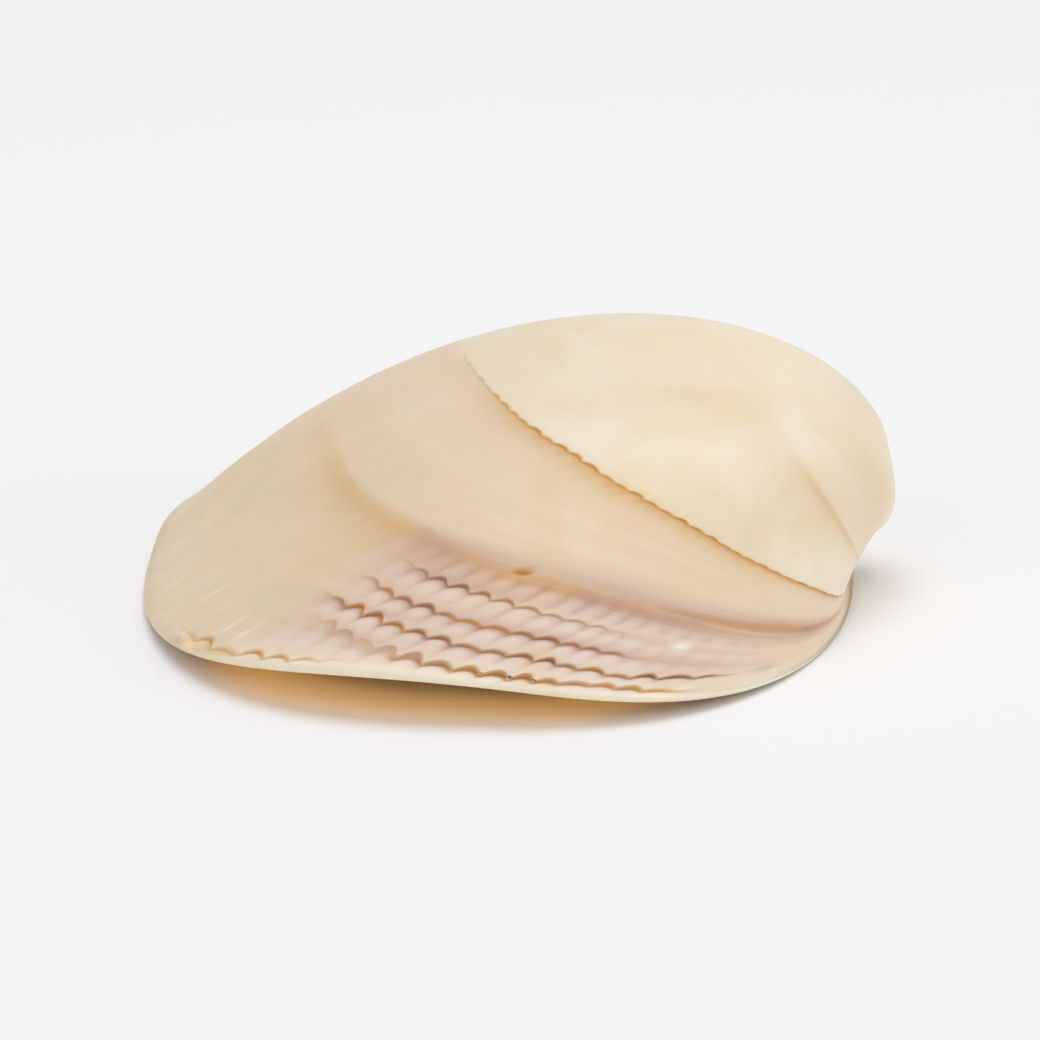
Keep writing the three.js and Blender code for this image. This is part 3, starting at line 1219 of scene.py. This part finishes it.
@dataclass(frozen=True)
class TableFinish:
    """A plain matt white surface."""

    white: Colour = colour(247, 246, 247)
    roughness: float = 0.7
    shine: float = 0.1

    def material(self) -> bpy.types.Material:
        """Builds the finish.

        Returns:
            The material.
        """
        bench = Bench("table_white")
        shader = bench.node("ShaderNodeBsdfPrincipled")
        shader.inputs["Base Color"].default_value = self.white
        shader.inputs["Roughness"].default_value = self.roughness
        shader.inputs["Specular IOR Level"].default_value = self.shine
        return bench.finish(shader)


# ---- the studio -----------------------------------------------------------------------------------


@dataclass(frozen=True)
class SoftBox:
    """A square lamp with a soft edge, which looks at the shell."""

    name: str
    place: tuple[float, float, float]
    size: float
    power: float
    tint: tuple[float, float, float] = (1.0, 1.0, 1.0)


@dataclass
class Studio:
    """The table, the lamps and the camera."""

    law: GrowthLaw
    table_size: float = 3.0
    sky: float = 0.505
    sky_tint: tuple[float, float, float] = (0.985, 0.99, 1.0)
    camera_elevation: float = math.radians(13.773)
    camera_roll: float = math.radians(1.063)
    camera_distance: float = 6.495
    view_angle: float = math.radians(13.893)
    aim: tuple[float, float, float] = (-0.4459, 0.0, 0.12)
    aim_drop: float = 0.0722
    boxes: tuple[SoftBox, ...] = (
        SoftBox("overhead", (0.02, 0.10, 0.60), 0.55, 1.85),
        SoftBox("front_fill", (-0.35, -0.50, 0.30), 0.45, 0.55),
        SoftBox("beak_fill", (0.60, -0.20, 0.22), 0.45, 0.9),
    )
    glow_places: tuple[float, ...] = (0.20, 0.23, 0.26, 0.29, 0.32, 0.35, 0.375)
    glow_inset: float = 2.3 * MM
    glow_height: float = 1.0 * MM
    glow_size: tuple[float, float] = (5.5 * MM, 4.0 * MM)
    glow_power: float = 0.000017
    glow_tint: tuple[float, float, float] = (1.0, 0.52, 0.08)

    def lay_table(self) -> bpy.types.Object:
        """Makes the surface that the shell lies on."""
        mesh = bpy.data.meshes.new("table")
        shape = bmesh.new()
        bmesh.ops.create_grid(shape, x_segments=1, y_segments=1, size=self.table_size / 2)
        shape.to_mesh(mesh)
        shape.free()
        table = bpy.data.objects.new("table", mesh)
        table.data.materials.append(TableFinish().material())
        bpy.context.scene.collection.objects.link(table)
        return table

    def light(self) -> None:
        """Hangs the lamps and sets the even light of the room."""
        world = bpy.data.worlds.new("room")
        world.use_nodes = True
        background = world.node_tree.nodes["Background"]
        background.inputs["Color"].default_value = (*self.sky_tint, 1.0)
        background.inputs["Strength"].default_value = self.sky
        bpy.context.scene.world = world
        for box in self.boxes:
            lamp = bpy.data.lights.new(box.name, "AREA")
            lamp.shape = "SQUARE"
            lamp.size = box.size
            lamp.energy = box.power
            lamp.color = box.tint
            holder = bpy.data.objects.new(box.name, lamp)
            holder.location = box.place
            holder.rotation_mode = "QUATERNION"
            holder.rotation_quaternion = (-Vector(box.place)).to_track_quat("-Z", "Y")
            bpy.context.scene.collection.objects.link(holder)

    def light_hollow(self) -> None:
        """Adds the warm light that comes down through the shell's wall along its long rear side."""
        for number, around in enumerate(self.glow_places):
            here = self.law.place(np.array([around]), np.array([0.0]), self.glow_inset)[0]
            before, after = self.law.place(around + np.array([-0.01, 0.01]), np.zeros(2))
            lamp = bpy.data.lights.new(f"glow_{number}", "AREA")
            lamp.shape = "ELLIPSE"
            lamp.size, lamp.size_y = self.glow_size
            lamp.energy = self.glow_power
            lamp.color = self.glow_tint
            holder = bpy.data.objects.new(f"glow_{number}", lamp)
            holder.location = (here[0], here[1], self.glow_height)
            holder.rotation_euler = (0, 0, math.atan2(after[1] - before[1], after[0] - before[0]))
            bpy.context.scene.collection.objects.link(holder)

    def set_camera(self) -> None:
        """Puts the camera low in front of the long rear side, tipped very slightly."""
        reach = self.law.reach
        elevation = self.camera_elevation
        right = Vector((1, 0, 0))
        up = Vector((0, math.sin(elevation), math.cos(elevation)))
        back = Vector((0, -math.cos(elevation), math.sin(elevation)))
        roll = self.camera_roll
        tipped_right = right * math.cos(roll) + up * math.sin(roll)
        tipped_up = up * math.cos(roll) - right * math.sin(roll)
        aim = Vector(self.law.shift) + Vector(self.aim) * reach
        place = aim + back * self.camera_distance * reach
        looked_at = aim - tipped_up * self.aim_drop * reach
        away = (place - looked_at).normalized()
        tipped_up = (tipped_up - away * tipped_up.dot(away)).normalized()
        tipped_right = tipped_up.cross(away)
        turned = Matrix((tipped_right, tipped_up, away)).transposed().to_4x4()
        lens = bpy.data.cameras.new("camera")
        lens.angle = self.view_angle
        lens.clip_start, lens.clip_end = 0.005, 10
        camera = bpy.data.objects.new("camera", lens)
        camera.matrix_world = Matrix.Translation(place) @ turned
        bpy.context.scene.collection.objects.link(camera)
        bpy.context.scene.camera = camera

    def set_film(self) -> None:
        """Shows colours as they are, with no film look."""
        bpy.context.scene.view_settings.view_transform = "Standard"
        bpy.context.scene.view_settings.look = "None"


def main() -> None:
    """Builds the shell and the studio round it, in order, and reports each piece."""
    logging.basicConfig(level=logging.INFO, format="%(name)s: %(message)s")
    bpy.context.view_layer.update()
    law = GrowthLaw.inside_box(*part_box(VALVE_NODE))
    ribs = Ribs(law)
    log.info("growth law: reach %.2f mm, %d ribs", law.reach / MM, ribs.count)
    log.info("growth pauses: %s", ", ".join(pause.name for pause in PAUSES))
    valve = Valve(law, ribs).build()
    valve.data.materials.append(ShellFinish().material())
    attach(valve, BODY)
    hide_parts(VALVE_NODE)
    log.info("piece %s: %d faces", valve.name, len(valve.data.polygons))
    studio = Studio(law)
    studio.lay_table()
    studio.light()
    studio.light_hollow()
    studio.set_camera()
    studio.set_film()
    log.info("studio: table, %d lamps and camera", len(studio.boxes))


if __name__ == "__main__":
    main()
